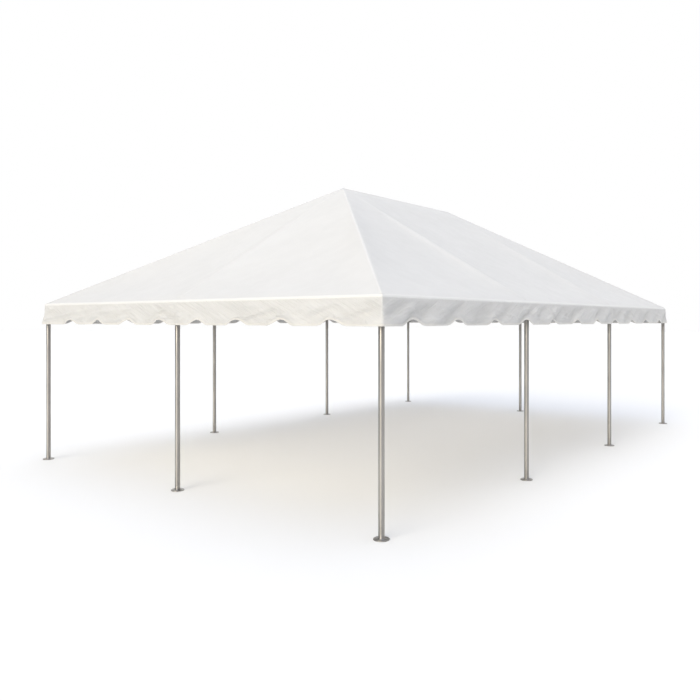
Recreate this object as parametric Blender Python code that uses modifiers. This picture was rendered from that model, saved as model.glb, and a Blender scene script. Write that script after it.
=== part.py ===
"""Marquee tent: a hip-roof frame tent of 20 by 30 feet, open on all sides, in metres and +Z up.

The origin is on the ground at the centre of the plan. The long side runs along Y, the front end
faces -Y, and the right-hand side faces +X. Ten legs stand 10 feet apart. Their fittings carry the
eave tubes and the rafters, and two crown fittings and a ridge tube join the rafters' upper ends.
"""
import math

import bmesh
import bpy
from mathutils import Vector

# Plan: bays of 10 feet, two across and three along
BAY = 3.048
HALF_WIDTH = BAY
HALF_LENGTH = 1.5 * BAY
HALF_RIDGE = 0.5 * BAY

# Frame: tubes of 60.3 mm, legs of 7 feet, and a peak 1.778 above the eave
TUBE_RADIUS = 0.03015
TUBE_WALL = 0.003
LEG_TUBE = 2.134
PLATE_RADIUS = 0.0775
PLATE_THICKNESS = 0.010
PLATE_EDGE = 0.0025
PEAK_RISE = 1.778
SHOULDER = 0.100            # from a joint's centre to the ends of its tubes
SPIGOT_RADIUS = 0.0262
SPIGOT_REACH = 0.220        # from a joint's centre to the end of each spigot

# Fabric: one thickness for the roof, one for the valance, and the way it hangs
ROOF_THICKNESS = 0.006
VALANCE_THICKNESS = 0.005
VALANCE_CLEARANCE = 0.008   # between the eave tube and the valance
VALANCE_DROP = 0.295
ROOF_SAG = 0.055
NOTCH_HEIGHT = 0.064        # from the lobes' level bottoms to the top of each notch
NOTCH_REACH = 0.19          # from a notch's middle to where the level starts
END_NOTCHES = 8
END_PITCH = 0.686
END_SHIFT = 0.08            # of the whole row, to the right as seen from outside
SIDE_NOTCHES = 11
SIDE_PITCH = 0.823
SIDE_SHIFT = 0.0
TUBE_SHARE = 0.02           # share of a bay that lies flat along each rafter
PEAK_SHARE = 0.10           # share of the roof's run that lies flat below the ridge and peaks

# Gaps between pieces that touch
GAP = 0.0003
REST_GAP = 0.0005

# Fineness of the round pieces and of the fabric
LEG_SIDES = 20
TUBE_SIDES = 16
ARM_SIDES = 12
BAY_CELLS = 4
SLOPE_CELLS = 6
NOTCH_CELLS = 4             # on each side of a notch's middle

# Heights that follow from the sizes above
SLOPE = PEAK_RISE / HALF_WIDTH
SLOPE_SECANT = math.hypot(1.0, SLOPE)
EAVE_HEIGHT = PLATE_THICKNESS + LEG_TUBE + SHOULDER
CROWN_HEIGHT = EAVE_HEIGHT + PEAK_RISE
ROOF_RISE = TUBE_RADIUS * SLOPE_SECANT + REST_GAP    # from the rafters' axes to the fabric
ROOF_DEPTH = ROOF_THICKNESS * SLOPE_SECANT
ROOF_PEAK = CROWN_HEIGHT + ROOF_RISE + ROOF_DEPTH
VALANCE_INSIDE = TUBE_RADIUS + VALANCE_CLEARANCE
OVERHANG = VALANCE_INSIDE + VALANCE_THICKNESS        # from the leg line to the fabric's face
ROOF_RUN = HALF_WIDTH + OVERHANG
FOLD_HEIGHT = ROOF_PEAK - ROOF_RUN * SLOPE
VALANCE_TOP = FOLD_HEIGHT - ROOF_DEPTH - GAP
VALANCE_BOTTOM = FOLD_HEIGHT - VALANCE_DROP

# Legs in order round the plan, in bays from the centre
LEG_RING = {
    "front_left": (-1.0, -1.5),
    "front_middle": (0.0, -1.5),
    "front_right": (1.0, -1.5),
    "right_1": (1.0, -0.5),
    "right_2": (1.0, 0.5),
    "back_right": (1.0, 1.5),
    "back_middle": (0.0, 1.5),
    "back_left": (-1.0, 1.5),
    "left_2": (-1.0, 0.5),
    "left_1": (-1.0, -0.5),
}
EAVE_BAYS = ("front_left", "front_right", "right_front", "right_middle", "right_back",
             "back_right", "back_left", "left_back", "left_middle", "left_front")


def clear_scene():
    """Remove the objects that the file opens with."""
    for item in list(bpy.data.objects):
        bpy.data.objects.remove(item)


def make_material(name, colour, roughness, metallic):
    """Return a plain Principled material."""
    material = bpy.data.materials.new(name)
    material.use_nodes = True
    shader = material.node_tree.nodes["Principled BSDF"]
    shader.inputs["Base Color"].default_value = (*colour, 1.0)
    shader.inputs["Roughness"].default_value = roughness
    shader.inputs["Metallic"].default_value = metallic
    return material


def add_object(name, data, collection, material=None):
    """Put a mesh or a curve in the collection as a named object."""
    item = bpy.data.objects.new(name, data)
    collection.objects.link(item)
    if material:
        data.materials.append(material)
    return item


def aim(item, start, direction):
    """Stand an object's own +Z axis on a point, along a direction."""
    item.location = start
    item.rotation_euler = direction.to_track_quat("Z", "Y").to_euler()


def eave_joint(leg):
    """Return the centre of the fitting over a leg."""
    across, along = LEG_RING[leg]
    return Vector((across * BAY, along * BAY, EAVE_HEIGHT))


def crown_joint(end):
    """Return the centre of the front or the back crown fitting."""
    along = -HALF_RIDGE if end == "front" else HALF_RIDGE
    return Vector((0.0, along, CROWN_HEIGHT))


def crown_over(leg):
    """Return the name of the crown fitting that a leg's rafter runs up to."""
    return "front" if LEG_RING[leg][1] < 0.0 else "back"


def is_corner(leg):
    """Say whether a leg stands at a corner of the plan."""
    across, along = LEG_RING[leg]
    return abs(across) == 1.0 and abs(along) == 1.5


def turned_object(name, profile, sides, collection, material=None):
    """Turn a profile of (radius, height) points about its own Z axis."""
    mesh = bpy.data.meshes.new(name)
    points = [(radius, 0.0, height) for radius, height in profile]
    edges = [(i, i + 1) for i in range(len(points) - 1)]
    mesh.from_pydata(points, edges, [])
    item = add_object(name, mesh, collection, material)
    screw = item.modifiers.new("Turn", "SCREW")
    screw.axis = "Z"
    screw.steps = sides
    screw.render_steps = sides
    screw.use_merge_vertices = True
    screw.merge_threshold = 0.0001
    screw.use_smooth_shade = False
    return item


def evaluated_mesh(item):
    """Return a new mesh of an object with its modifiers applied."""
    bpy.context.view_layer.update()
    graph = bpy.context.evaluated_depsgraph_get()
    return bpy.data.meshes.new_from_object(item.evaluated_get(graph))


def make_leg(leg, collection, material):
    """Make a leg: a tube, open at the top, welded to its round foot plate."""
    inside = TUBE_RADIUS - TUBE_WALL
    top = PLATE_THICKNESS + LEG_TUBE - GAP
    profile = [
        (0.0, PLATE_THICKNESS),
        (inside, PLATE_THICKNESS),
        (inside, top),
        (TUBE_RADIUS, top),
        (TUBE_RADIUS, PLATE_THICKNESS),
        (PLATE_RADIUS - PLATE_EDGE, PLATE_THICKNESS),
        (PLATE_RADIUS, PLATE_THICKNESS - PLATE_EDGE),
        (PLATE_RADIUS, PLATE_EDGE),
        (PLATE_RADIUS - PLATE_EDGE, 0.0),
        (0.0, 0.0),
    ]
    item = turned_object(f"leg_{leg}", profile, LEG_SIDES, collection, material)
    across, along = LEG_RING[leg]
    item.location = (across * BAY, along * BAY, 0.0)


def make_tube(name, start, end, collection, material):
    """Make an open tube between two joints, short of both by a shoulder."""
    direction = (end - start).normalized()
    length = (end - start).length - 2.0 * (SHOULDER + GAP)
    bpy.ops.mesh.primitive_cylinder_add(vertices=TUBE_SIDES, radius=TUBE_RADIUS, depth=length,
                                        end_fill_type="NOTHING")
    item = bpy.context.object
    item.name = name
    item.data.name = name
    item.data.materials.append(material)
    for holder in list(item.users_collection):
        holder.objects.unlink(item)
    collection.objects.link(item)
    wall = item.modifiers.new("Wall", "SOLIDIFY")
    wall.thickness = TUBE_WALL
    wall.offset = -1.0
    wall.use_even_offset = True
    aim(item, (start + end) / 2.0, direction)


def make_arm_mesh(collection):
    """Make one arm of a fitting along +Z: a stem as thick as the tubes, then a spigot."""
    profile = [
        (0.0, SPIGOT_REACH),
        (SPIGOT_RADIUS, SPIGOT_REACH),
        (SPIGOT_RADIUS, SHOULDER),
        (TUBE_RADIUS, SHOULDER),
        (TUBE_RADIUS, 0.0),
        (0.0, 0.0),
    ]
    item = turned_object("arm", profile, ARM_SIDES, collection)
    mesh = evaluated_mesh(item)
    bpy.data.objects.remove(item)
    return mesh


def make_fitting(name, centre, directions, arm_mesh, collection, material):
    """Join one arm for each tube that meets here into a welded fitting."""
    arms = []
    for direction in directions:
        arm = add_object(f"{name}_arm", arm_mesh, collection)
        aim(arm, centre, direction)
        arms.append(arm)
    first = arms[0]
    for arm in arms[1:]:
        weld = first.modifiers.new("Weld", "BOOLEAN")
        weld.operation = "UNION"
        weld.solver = "EXACT"
        weld.object = arm
    joined = evaluated_mesh(first)
    joined.name = name
    fitting = add_object(name, joined, collection, material)
    fitting.matrix_world = first.matrix_world.copy()
    for arm in arms:
        bpy.data.objects.remove(arm)


def make_frame(collection, leg_material, tube_material, fitting_material):
    """Make the legs, the eave, the rafters, the ridge and the fittings."""
    arm_mesh = make_arm_mesh(collection)
    ring = list(LEG_RING)
    for leg in ring:
        make_leg(leg, collection, leg_material)
    for place, name in enumerate(EAVE_BAYS):
        start = eave_joint(ring[place])
        end = eave_joint(ring[(place + 1) % len(ring)])
        make_tube(f"eave_tube_{name}", start, end, collection, tube_material)

    for place, leg in enumerate(ring):
        foot = eave_joint(leg)
        head = crown_joint(crown_over(leg))
        if is_corner(leg):
            rafter, fitting = f"hip_rafter_{leg}", f"corner_fitting_{leg}"
        elif leg.endswith("middle"):
            rafter, fitting = f"end_rafter_{crown_over(leg)}", f"end_fitting_{crown_over(leg)}"
        else:
            rafter, fitting = f"side_rafter_{leg}", f"side_fitting_{leg}"
        make_tube(rafter, foot, head, collection, tube_material)
        neighbours = (eave_joint(ring[place - 1]), eave_joint(ring[(place + 1) % len(ring)]))
        directions = [Vector((0.0, 0.0, -1.0)), (head - foot).normalized()]
        directions += [(neighbour - foot).normalized() for neighbour in neighbours]
        make_fitting(fitting, foot, directions, arm_mesh, collection, fitting_material)

    front, back = crown_joint("front"), crown_joint("back")
    make_tube("ridge_tube", front, back, collection, tube_material)
    for end, other in (("front", back), ("back", front)):
        centre = crown_joint(end)
        feet = [eave_joint(leg) for leg in ring if crown_over(leg) == end]
        directions = [(foot - centre).normalized() for foot in feet + [other]]
        make_fitting(f"crown_fitting_{end}", centre, directions, arm_mesh, collection,
                     fitting_material)


def panel_columns(half_top):
    """Return each column of a roof panel's grid: its foot, its head, its sag and its bay's kind.

    Foot and head are distances along the eave, and the sag runs from 0 at a rafter to 1 midway.
    A bay outside the ridge narrows to a point at the peak.
    """
    half_eave = half_top + BAY + OVERHANG
    edges = sorted({-half_eave, -half_top, half_top, half_eave})
    steps = [step / BAY_CELLS for step in range(BAY_CELLS + 1)]
    columns = [(-half_eave, -half_top, 0.0, False)]
    for low, high in zip(edges, edges[1:]):
        is_middle = low >= -half_top and high <= half_top
        places = [(TUBE_SHARE + (1.0 - 2.0 * TUBE_SHARE) * step, step) for step in steps]
        for share, step in places + [(1.0, 1.0)]:
            foot = low + (high - low) * share
            head = max(-half_top, min(half_top, foot))
            columns.append((foot, head, 1.0 - abs(2.0 * step - 1.0) ** 3, is_middle))
    return columns


def fabric_sag(across, climb, is_middle):
    """Return how far the fabric hangs below the rafters' plane.

    across is 0 at a rafter and 1 midway, and climb runs up the part that sags.
    """
    if is_middle:
        return ROOF_SAG * across * 4.0 * climb * (1.0 - climb)
    return ROOF_SAG * across * 6.75 * climb * (1.0 - climb) ** 2


def make_roof_panel(name, half_top, head_distance, turn, collection, material):
    """Make one slope of the roof: a grid laid from eave to ridge, sagging between the rafters.

    half_top is half the length of its upper edge, head_distance is how far that edge lies from
    the origin, and turn is the panel's heading about Z. Its seams lie just clear of the others.
    """
    columns = panel_columns(half_top)
    low, high = (OVERHANG + TUBE_RADIUS) / ROOF_RUN, 1.0 - PEAK_SHARE
    climbs = [step / SLOPE_CELLS for step in range(SLOPE_CELLS + 1)]
    rows = [(0.0, 0.0)] + [(low + (high - low) * climb, climb) for climb in climbs] + [(1.0, 1.0)]
    cells_across, cells_up = len(columns) - 1, len(rows) - 1
    shape = bmesh.new()
    bmesh.ops.create_grid(shape, x_segments=cells_across, y_segments=cells_up, size=1.0)
    for vert in shape.verts:
        foot, head, across, is_middle = columns[round((vert.co.x + 1.0) / 2.0 * cells_across)]
        share_up, climb = rows[round((vert.co.y + 1.0) / 2.0 * cells_up)]
        outward = ROOF_RUN * (1.0 - share_up)
        along = foot + (head - foot) * share_up
        height = ROOF_PEAK - outward * SLOPE - fabric_sag(across, climb, is_middle)
        vert.co = (along, -(head_distance + outward + GAP), height)
    bmesh.ops.remove_doubles(shape, verts=shape.verts[:], dist=0.0001)
    bmesh.ops.triangulate(shape, faces=shape.faces[:])
    lower = bmesh.ops.extrude_face_region(shape, geom=shape.faces[:])
    lower_verts = [part for part in lower["geom"] if isinstance(part, bmesh.types.BMVert)]
    bmesh.ops.translate(shape, verts=lower_verts, vec=(0.0, 0.0, -ROOF_DEPTH))
    bmesh.ops.recalc_face_normals(shape, faces=shape.faces[:])
    mesh = bpy.data.meshes.new(name)
    shape.to_mesh(mesh)
    shape.free()
    panel = add_object(name, mesh, collection, material)
    panel.rotation_euler = (0.0, 0.0, turn)


def scalloped_edge(notches, pitch, shift):
    """Return the valance's lower edge as (along, height) points, from left to right.

    The edge is level, and rises in a soft arch at each notch. The notches are a pitch apart, and
    shift is how far the middle of their row lies from the middle of the side.
    """
    edge = []
    for notch in range(notches):
        middle = shift + pitch * (notch - (notches - 1) / 2.0)
        for step in range(-NOTCH_CELLS, NOTCH_CELLS + 1):
            share = step / NOTCH_CELLS
            rise = NOTCH_HEIGHT * (1.0 + math.cos(math.pi * share)) / 2.0
            edge.append((middle + NOTCH_REACH * share, VALANCE_BOTTOM + rise))
    return edge


def make_valance(name, half_length, edge, distance, turn, collection, material):
    """Make one side of the valance: a flat outline with a scalloped lower edge, stood upright."""
    curve = bpy.data.curves.new(name, "CURVE")
    curve.dimensions = "2D"
    curve.fill_mode = "BOTH"
    curve.extrude = VALANCE_THICKNESS / 2.0
    outline = [(half_length, VALANCE_TOP), (-half_length, VALANCE_TOP)]
    outline += [(-half_length, VALANCE_BOTTOM)] + edge + [(half_length, VALANCE_BOTTOM)]
    spline = curve.splines.new("POLY")
    spline.points.add(len(outline) - 1)
    for point, (along, height) in zip(spline.points, outline):
        point.co = (along, height, 0.0, 1.0)
    spline.use_cyclic_u = True
    item = add_object(name, curve, collection, material)
    item.rotation_euler = (math.pi / 2.0, 0.0, turn)
    middle = distance + VALANCE_INSIDE + VALANCE_THICKNESS / 2.0
    item.location = (middle * math.sin(turn), -middle * math.cos(turn), 0.0)


def make_fabric(collection, material):
    """Make the four roof panels and the four sides of the valance."""
    quarter = math.pi / 2.0
    ends = (("front", 0.0), ("back", 2.0 * quarter))
    sides = (("right", quarter), ("left", -quarter))
    for name, turn in ends:
        make_roof_panel(f"roof_panel_{name}", 0.0, HALF_RIDGE, turn, collection, material)
        edge = scalloped_edge(END_NOTCHES, END_PITCH, END_SHIFT)
        make_valance(f"valance_{name}", HALF_WIDTH + OVERHANG, edge, HALF_LENGTH, turn,
                     collection, material)
    for name, turn in sides:
        make_roof_panel(f"roof_panel_{name}", HALF_RIDGE, 0.0, turn, collection, material)
        edge = scalloped_edge(SIDE_NOTCHES, SIDE_PITCH, SIDE_SHIFT)
        make_valance(f"valance_{name}", HALF_LENGTH + VALANCE_INSIDE - GAP, edge, HALF_WIDTH,
                     turn, collection, material)


def main():
    """Build the tent."""
    clear_scene()
    collection = bpy.data.collections.new("marquee_tent")
    bpy.context.scene.collection.children.link(collection)
    vinyl = make_material("canopy_vinyl", (0.90, 0.89, 0.87), 0.55, 0.0)
    leg_metal = make_material("leg_aluminium", (0.62, 0.60, 0.57), 0.32, 1.0)
    tube_metal = make_material("frame_aluminium", (0.66, 0.66, 0.66), 0.38, 1.0)
    fitting_metal = make_material("fitting_steel", (0.52, 0.53, 0.54), 0.45, 1.0)
    make_frame(collection, leg_metal, tube_metal, fitting_metal)
    make_fabric(collection, vinyl)


main()
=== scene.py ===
"""Marquee tent: the looks of a hip-roof frame tent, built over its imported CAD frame.

Units are metres, +Z is up, the long side runs along Y and the front end faces -Y. The canopy is
one sheet of coated fabric that is stretched over the rafters, folds over the eave tubes and hangs
down as a scalloped valance. Below it stand ten aluminium legs, joined by fittings and tubes.
"""

import logging
import math
from dataclasses import dataclass, field
from enum import Enum

import bmesh
import bpy
from mathutils import Matrix, Vector, noise


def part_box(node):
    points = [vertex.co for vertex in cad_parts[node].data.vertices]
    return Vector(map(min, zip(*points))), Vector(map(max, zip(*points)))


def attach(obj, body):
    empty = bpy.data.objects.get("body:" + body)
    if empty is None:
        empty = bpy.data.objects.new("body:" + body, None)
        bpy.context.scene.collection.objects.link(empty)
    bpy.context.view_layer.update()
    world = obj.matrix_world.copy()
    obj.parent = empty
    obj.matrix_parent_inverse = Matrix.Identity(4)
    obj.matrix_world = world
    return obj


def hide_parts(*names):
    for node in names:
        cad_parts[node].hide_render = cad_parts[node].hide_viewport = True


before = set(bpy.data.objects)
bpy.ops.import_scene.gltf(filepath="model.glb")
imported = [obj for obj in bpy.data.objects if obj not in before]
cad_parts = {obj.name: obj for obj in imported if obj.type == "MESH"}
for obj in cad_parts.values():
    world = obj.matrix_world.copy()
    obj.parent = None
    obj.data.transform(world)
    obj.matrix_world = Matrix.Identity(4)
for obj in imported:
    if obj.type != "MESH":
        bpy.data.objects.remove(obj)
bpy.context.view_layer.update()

LOG = logging.getLogger("marquee_tent")
BODY = "root"
Colour = tuple[float, float, float]


class Slot(Enum):
    """The record's material slots."""

    LEG = "leg_aluminium"
    TUBE = "frame_aluminium"
    FITTING = "fitting_steel"
    CANOPY = "canopy_vinyl"


class Side(Enum):
    """A side of the tent, as the plan direction that it faces."""

    FRONT = (0, -1)
    RIGHT = (1, 0)
    BACK = (0, 1)
    LEFT = (-1, 0)

    @property
    def outward(self) -> Vector:
        """The level direction away from the tent."""
        return Vector((*self.value, 0.0))

    @property
    def along(self) -> Vector:
        """The level direction to the right, as seen from outside."""
        return Vector((-self.value[1], self.value[0], 0.0))

    @property
    def is_end(self) -> bool:
        """Whether this is one of the two short sides."""
        return self.value[0] == 0

    @property
    def grain_hand(self) -> float:
        """Which way the fabric's tension lines lean on this side."""
        return 1.0 if self.is_end else -1.0

    @property
    def number(self) -> int:
        """The side's place in the order round the plan, for seeds and coordinates."""
        return list(Side).index(self)


def smoothstep(low: float, high: float, value: float) -> float:
    """Return 0 below low, 1 above high, and a smooth climb between them."""
    share = min(1.0, max(0.0, (value - low) / (high - low)))
    return share * share * (3.0 - 2.0 * share)


@dataclass(frozen=True)
class Wrinkles:
    """Seeded wrinkles that are drawn out along one direction.

    lean is their angle from the fabric's edge in radians, length and width are the size of one
    in its own direction and across it, height is how far the pattern stands out, and seed keeps
    it apart from the other patterns on the same side.
    """

    lean: float
    length: float
    width: float
    height: float = 1.0
    seed: float = 0.0

    def at(self, along: float, across: float, seed: float) -> float:
        """Return the pattern's value at a place on the fabric.

        Args:
            along: Place along the fabric's edge.
            across: Place down the fabric.
            seed: The seed of the side of the tent.

        Returns:
            A value between about -1 and 1.
        """
        ahead = along * math.cos(self.lean) + across * math.sin(self.lean)
        aside = across * math.cos(self.lean) - along * math.sin(self.lean)
        return noise.noise(Vector((ahead / self.length, aside / self.width, seed + self.seed)))


# Materials


class NodeTree:
    """The nodes of a material or of the world."""

    # The share and the two colours among a Mix node's inputs, and the colour it gives
    MIX_INPUTS: tuple[int, int, int] = (0, 6, 7)
    MIX_RESULT: int = 2

    def __init__(self, tree: bpy.types.NodeTree) -> None:
        """Take over a tree's nodes and links."""
        self.nodes, self.links = tree.nodes, tree.links

    def add(self, kind: str, **inputs: object) -> bpy.types.Node:
        """Add a node and set or link its inputs.

        Args:
            kind: The node's type, without the ShaderNode at its start.
            **inputs: Input names with _ for a space, each with a value or a socket. A name in
                lower case is a property of the node itself.

        Returns:
            The new node.
        """
        node = self.nodes.new(f"ShaderNode{kind}")
        for name, value in inputs.items():
            if name.islower():
                setattr(node, name, value)
                continue
            self.feed(node.inputs[name.replace("_", " ")], value)
        return node

    def feed(self, socket: bpy.types.NodeSocket, value: object) -> None:
        """Link a socket to an input, or set the input's own value.

        Args:
            socket: The input.
            value: Another node's output, or a value.
        """
        if isinstance(value, bpy.types.NodeSocket):
            self.links.new(value, socket)
        else:
            socket.default_value = value

    def math(self, operation: str, first: object, second: object = 0.0,
             third: object = 0.0) -> bpy.types.NodeSocket:
        """Return the result of a Math node.

        Args:
            operation: The node's operation.
            first: Its first value.
            second: Its second value.
            third: Its third value.

        Returns:
            The node's output.
        """
        node = self.add("Math", operation=operation)
        for socket, value in zip(node.inputs, (first, second, third)):
            self.feed(socket, value)
        return node.outputs[0]

    def blend(self, share: object, first: object, second: object) -> bpy.types.NodeSocket:
        """Return a colour between two others.

        Args:
            share: How much of the second colour there is, from 0 to 1.
            first: The colour at 0.
            second: The colour at 1.

        Returns:
            The node's output.
        """
        node = self.add("Mix", data_type="RGBA")
        for place, value in zip(self.MIX_INPUTS, (share, first, second)):
            if place and not isinstance(value, bpy.types.NodeSocket):
                value = (*value, 1.0)
            self.feed(node.inputs[place], value)
        return node.outputs[self.MIX_RESULT]

    def climb(self, value: object, low: float, high: float, bottom: float = 0.0,
              top: float = 1.0) -> bpy.types.NodeSocket:
        """Return a smooth climb from bottom to top as a value goes from low to high.

        Args:
            value: What is looked at.
            low: Where the climb starts.
            high: Where it ends.
            bottom: The result at its start.
            top: The result at its end.

        Returns:
            The node's output.
        """
        node = self.add("MapRange", interpolation_type="SMOOTHSTEP")
        for socket, number in zip(node.inputs, (value, low, high, bottom, top)):
            self.feed(socket, number)
        return node.outputs[0]

    def place(self, source: bpy.types.NodeSocket, scale: tuple[float, float, float],
              turn: float = 0.0) -> bpy.types.NodeSocket:
        """Return coordinates that are turned about Z and then scaled."""
        turned = self.add("Mapping", Vector=source, Rotation=(0.0, 0.0, turn))
        return self.add("Mapping", Vector=turned.outputs[0], Scale=scale).outputs[0]

    def noise(self, place: bpy.types.NodeSocket, scale: float = 1.0, detail: float = 2.0,
              rough: float = 0.5) -> bpy.types.NodeSocket:
        """Return a noise texture's value."""
        node = self.add("TexNoise", Vector=place, Scale=scale, Detail=detail, Roughness=rough)
        return node.outputs[0]

    def bump(self, height: bpy.types.NodeSocket, distance: float, strength: float = 1.0,
             under: bpy.types.NodeSocket | None = None) -> bpy.types.NodeSocket:
        """Return a normal that a height raises, on top of the bump under it.

        Args:
            height: The height.
            distance: Its size in metres.
            strength: How strongly it shows.
            under: The bump under it.

        Returns:
            The normal.
        """
        node = self.add("Bump", Height=height, Distance=distance, Strength=strength)
        if under:
            self.feed(node.inputs["Normal"], under)
        return node.outputs[0]

    def coordinates(self, kind: str) -> bpy.types.NodeSocket:
        """Return texture coordinates of one kind, such as UV."""
        return self.add("TexCoord").outputs[kind]


class NodeGraph(NodeTree):
    """A material's nodes, ending in a Principled shader."""

    def __init__(self, name: str) -> None:
        """Start an empty material of that name.

        Args:
            name: The material's name.
        """
        self.material = bpy.data.materials.new(name)
        self.material.use_nodes = True
        super().__init__(self.material.node_tree)
        self.shader = self.nodes["Principled BSDF"]

    def finish(self, **inputs: object) -> bpy.types.Material:
        """Set or link the shader's inputs and return the material.

        Args:
            **inputs: Input names with _ for a space, each with a value or a socket.

        Returns:
            The material.
        """
        for name, value in inputs.items():
            self.feed(self.shader.inputs[name.replace("_", " ")], value)
        return self.material


@dataclass(frozen=True)
class VinylFinish:
    """Coated white fabric with a fine scrim, drawn lines and a little soil near the hem.

    On the roof the lines run down the slope, on the valance they slant; painted shade darkens its
    folds.
    """

    name: str = "canopy_vinyl"
    clean: Colour = (0.650, 0.650, 0.648)
    shaded: Colour = (0.632, 0.632, 0.630)
    soil: Colour = (0.55, 0.535, 0.515)
    # painted shade: the colour that the valance darkens towards, by the share below
    hollow: Colour = (0.52, 0.52, 0.515)
    scrim_pitch: float = 0.0022
    roof_lean: float = 1.71
    hanging_lean: float = 0.44
    line_width: float = 0.027
    fine_width: float = 0.010
    soil_share: float = 0.06
    drip_share: float = 0.10
    hollow_share: float = 0.55
    hanging_pull: float = 3.4
    line_depth: float = 0.0036
    fine_depth: float = 0.0010
    crinkle_depth: float = 0.0022
    weave_depth: float = 0.00006

    def drawn_lines(self, graph: NodeGraph, cloth: bpy.types.NodeSocket, width: float,
                    hanging: bpy.types.NodeSocket) -> bpy.types.NodeSocket:
        """Return noise that is drawn out along the roof's slope, or slantwise on the valance.

        Args:
            graph: The material's nodes.
            cloth: The fabric's coordinates.
            width: The width of a line. It is about twenty times as long.
            hanging: 0 on the roof and 1 on the valance.

        Returns:
            The noise's value.
        """
        scale = (0.05 / width, 1.0 / width, 1.0)
        roof, valance = (graph.noise(graph.place(cloth, scale, -lean), 1.0, 3.0, 0.6)
                         for lean in (self.roof_lean, self.hanging_lean))
        step = graph.math("SUBTRACT", valance, roof)
        return graph.math("MULTIPLY_ADD", step, hanging, roof)

    def build(self) -> bpy.types.Material:
        """Make the material, for UV coordinates in metres along and down the fabric.

        Returns:
            The finished material.
        """
        graph = NodeGraph(self.name)
        cloth = graph.coordinates("UV")
        down = graph.add("SeparateXYZ", Vector=cloth).outputs[1]
        hanging = graph.climb(down, -0.01, 0.03)
        lines = self.drawn_lines(graph, cloth, self.line_width, hanging)
        fine = self.drawn_lines(graph, cloth, self.fine_width, hanging)

        cloud = graph.climb(graph.noise(cloth, 1.4, 4.0), 0.3, 0.7)
        colour = graph.blend(cloud, self.clean, self.shaded)
        low = graph.climb(down, 0.02, 0.36)
        smudge = graph.climb(graph.noise(cloth, 7.0, 5.0, 0.65), 0.48, 0.78)
        drips = graph.climb(fine, 0.5, 0.85)
        soiled = graph.math("MULTIPLY", graph.math("MULTIPLY", low, smudge), self.soil_share)
        soiled = graph.math("MULTIPLY_ADD", drips, self.drip_share, soiled)
        colour = graph.blend(soiled, colour, self.soil)
        # Painted shade: a share kept on the mesh darkens the valance a little all over and most in
        # the troughs of its slanting folds
        fold_shade = graph.add("Attribute", attribute_name="hollow").outputs["Fac"]
        colour = graph.blend(graph.math("MULTIPLY", fold_shade, self.hollow_share), colour, self.hollow)

        weave = graph.math("MULTIPLY", *(
            graph.add("TexWave", wave_type="BANDS", bands_direction=axis, Vector=cloth,
                      Scale=math.pi / (10.0 * self.scrim_pitch)).outputs[1] for axis in "XY"))
        pull = graph.math("MULTIPLY_ADD", hanging, self.hanging_pull, 1.0)
        normal = graph.bump(graph.math("MULTIPLY", lines, pull), self.line_depth)
        normal = graph.bump(graph.math("MULTIPLY", fine, pull), self.fine_depth, under=normal)
        normal = graph.bump(graph.noise(cloth, 9.0, 4.0, 0.6), self.crinkle_depth, under=normal)
        normal = graph.bump(weave, self.weave_depth, 0.6, under=normal)
        rough = graph.climb(graph.noise(cloth, 5.0, 3.0), 0.3, 0.7, 0.46, 0.60)
        return graph.finish(Base_Color=colour, Roughness=rough, Normal=normal,
                            Specular_IOR_Level=0.35, Sheen_Weight=0.08, Sheen_Roughness=0.5)


@dataclass(frozen=True)
class BindingFinish:
    """Cream binding tape with two rows of stitches, for the hem."""

    name: str = "hem_binding"
    tape: Colour = (0.67, 0.66, 0.64)
    worn: Colour = (0.58, 0.57, 0.55)
    thread: Colour = (0.73, 0.72, 0.70)
    stitch: float = 0.0045
    rib: float = 0.0011
    row_place: float = 0.34     # from the middle of the tape, whose width counts as 1
    row_edges: tuple[float, float] = (0.028, 0.012)

    def build(self) -> bpy.types.Material:
        """Make the material, for UV coordinates in metres along the tape and 0 to 1 across.

        Returns:
            The finished material.
        """
        graph = NodeGraph(self.name)
        tape = graph.coordinates("UV")
        split = graph.add("SeparateXYZ", Vector=tape)
        along, across = split.outputs[0], split.outputs[1]
        worn = graph.climb(graph.noise(graph.place(tape, (9.0, 3.0, 1.0)), 1.0, 4.0), 0.45, 0.75)
        colour = graph.blend(graph.math("MULTIPLY", worn, 0.45), self.tape, self.worn)
        turn = graph.math("MULTIPLY", along, 2.0 * math.pi / self.stitch)
        dash = graph.climb(graph.math("SINE", turn), -0.4, 0.1)
        from_middle = graph.math("ABSOLUTE", graph.math("SUBTRACT", across, 0.5))
        from_row = graph.math("ABSOLUTE", graph.math("SUBTRACT", from_middle, self.row_place))
        row = graph.climb(from_row, *self.row_edges)
        stitches = graph.math("MULTIPLY", dash, row)
        colour = graph.blend(stitches, colour, self.thread)
        ribs = graph.math("SINE", graph.math("MULTIPLY", along, 2.0 * math.pi / self.rib))
        normal = graph.bump(ribs, 0.00008, 0.5)
        normal = graph.bump(graph.noise(tape, 30.0, 3.0), 0.0006, under=normal)
        normal = graph.bump(stitches, 0.0006, under=normal)
        rough = graph.climb(worn, 0.0, 1.0, 0.52, 0.68)
        return graph.finish(Base_Color=colour, Roughness=rough, Normal=normal,
                            Specular_IOR_Level=0.35, Sheen_Weight=0.10, Sheen_Roughness=0.5)


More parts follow.
